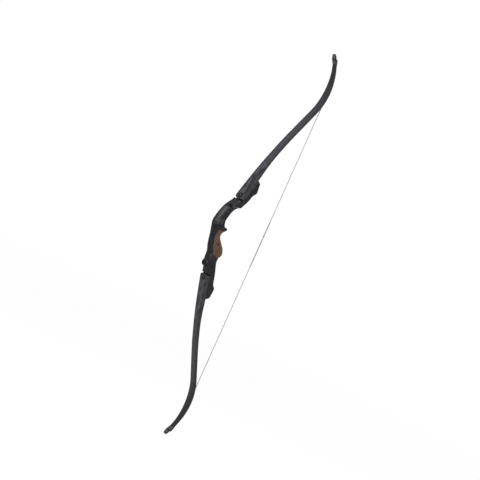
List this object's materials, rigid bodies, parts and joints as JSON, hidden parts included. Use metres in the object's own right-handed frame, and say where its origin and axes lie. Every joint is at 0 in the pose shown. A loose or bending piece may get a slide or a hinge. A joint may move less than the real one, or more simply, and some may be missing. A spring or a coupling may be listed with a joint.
{
  "type": "takedown recurve bow",
  "caption": "Takedown recurve bow for target practice: a machined riser with a wooden grip, bolt-on limbs that flex back as the string is drawn, and a strung bowstring.",
  "frame": {"origin": "The throat of the grip, the deepest point where the bow hand pushes, on the bow's centre plane and at its mid-height.", "axes": "+X points to the target and the archer stands at -X, +Y is the archer's left, where the sight window is open, and +Z runs along the braced string to the upper limb's tip."},
  "size_m": [0.2416, 0.041, 1.4562],
  "materials": {
    "riser_metal": "satin",
    "grip_wood": "satin",
    "dark_steel": "satin",
    "insert_brass": "satin",
    "pad_felt": "matte",
    "limb_facing": "gloss",
    "limb_wood": "satin",
    "tip_plate": "gloss",
    "string_yarn": "matte",
    "serving_yarn": "matte"
  },
  "bodies": {
    "handle": {"riser": "riser_metal", "grip": "grip_wood", "grip_screws": "dark_steel", "shelf_pad": "pad_felt", "strike_pad": "pad_felt", "stabilizer_bushing": "dark_steel", "sight_inserts": "insert_brass", "upper_limb_butt": "limb_facing", "upper_limb_wedge": "limb_wood", "upper_limb_bolt": "dark_steel", "upper_bolt_washer": "dark_steel", "upper_bolt_insert": "insert_brass", "upper_alignment_pin": "dark_steel", "lower_limb_butt": "limb_facing", "lower_limb_wedge": "limb_wood", "lower_limb_bolt": "dark_steel", "lower_bolt_washer": "dark_steel", "lower_bolt_insert": "insert_brass", "lower_alignment_pin": "dark_steel"},
    "upper_limb": {"upper_limb_core": "limb_wood", "upper_back_glass": "limb_facing", "upper_belly_glass": "limb_facing", "upper_tip_overlay": "tip_plate"},
    "lower_limb": {"lower_limb_core": "limb_wood", "lower_back_glass": "limb_facing", "lower_belly_glass": "limb_facing", "lower_tip_overlay": "tip_plate"},
    "upper_bowstring": {"upper_string": "string_yarn", "upper_string_loop": "serving_yarn", "upper_serving": "serving_yarn", "nocking_point": "serving_yarn"},
    "lower_bowstring": {"lower_string": "string_yarn", "lower_string_loop": "serving_yarn", "lower_serving": "serving_yarn"}
  },
  "joints": [
    {"name": "upper_limb_flex", "type": "hinge", "parent": "handle", "child": "upper_limb", "pos_m": [-0.06265, 0, 0.29322], "axis": [0, -1, 0], "range_deg": [0, 26.64], "stiffness_Nm_per_rad": 200, "springref_deg": -0.57, "deforming": ["upper_limb_core", "upper_back_glass", "upper_belly_glass"]},
    {"name": "lower_limb_flex", "type": "hinge", "parent": "handle", "child": "lower_limb", "pos_m": [-0.06265, 0, -0.29322], "axis": [0, 1, 0], "range_deg": [0, 25.3], "deforming": ["lower_limb_core", "lower_back_glass", "lower_belly_glass"]},
    {"name": "upper_string_swing", "type": "hinge", "parent": "upper_limb", "child": "upper_bowstring", "pos_m": [-0.1565, 0, 0.713], "axis": [0, 1, 0], "range_deg": [0, 53.15], "deforming": ["upper_string", "upper_string_loop", "upper_serving"]},
    {"name": "lower_string_swing", "type": "hinge", "parent": "lower_limb", "child": "lower_bowstring", "pos_m": [-0.1565, 0, -0.713], "axis": [0, -1, 0], "range_deg": [0, 49.41], "deforming": ["lower_string", "lower_string_loop", "lower_serving"]}
  ],
  "couplings": [
    {"joint": "lower_limb_flex", "follows": "upper_limb_flex", "ratio": 0.94905},
    {"joint": "upper_string_swing", "follows": "upper_limb_flex", "ratio": 1.9948},
    {"joint": "lower_string_swing", "follows": "upper_limb_flex", "ratio": 1.8542}
  ]
}
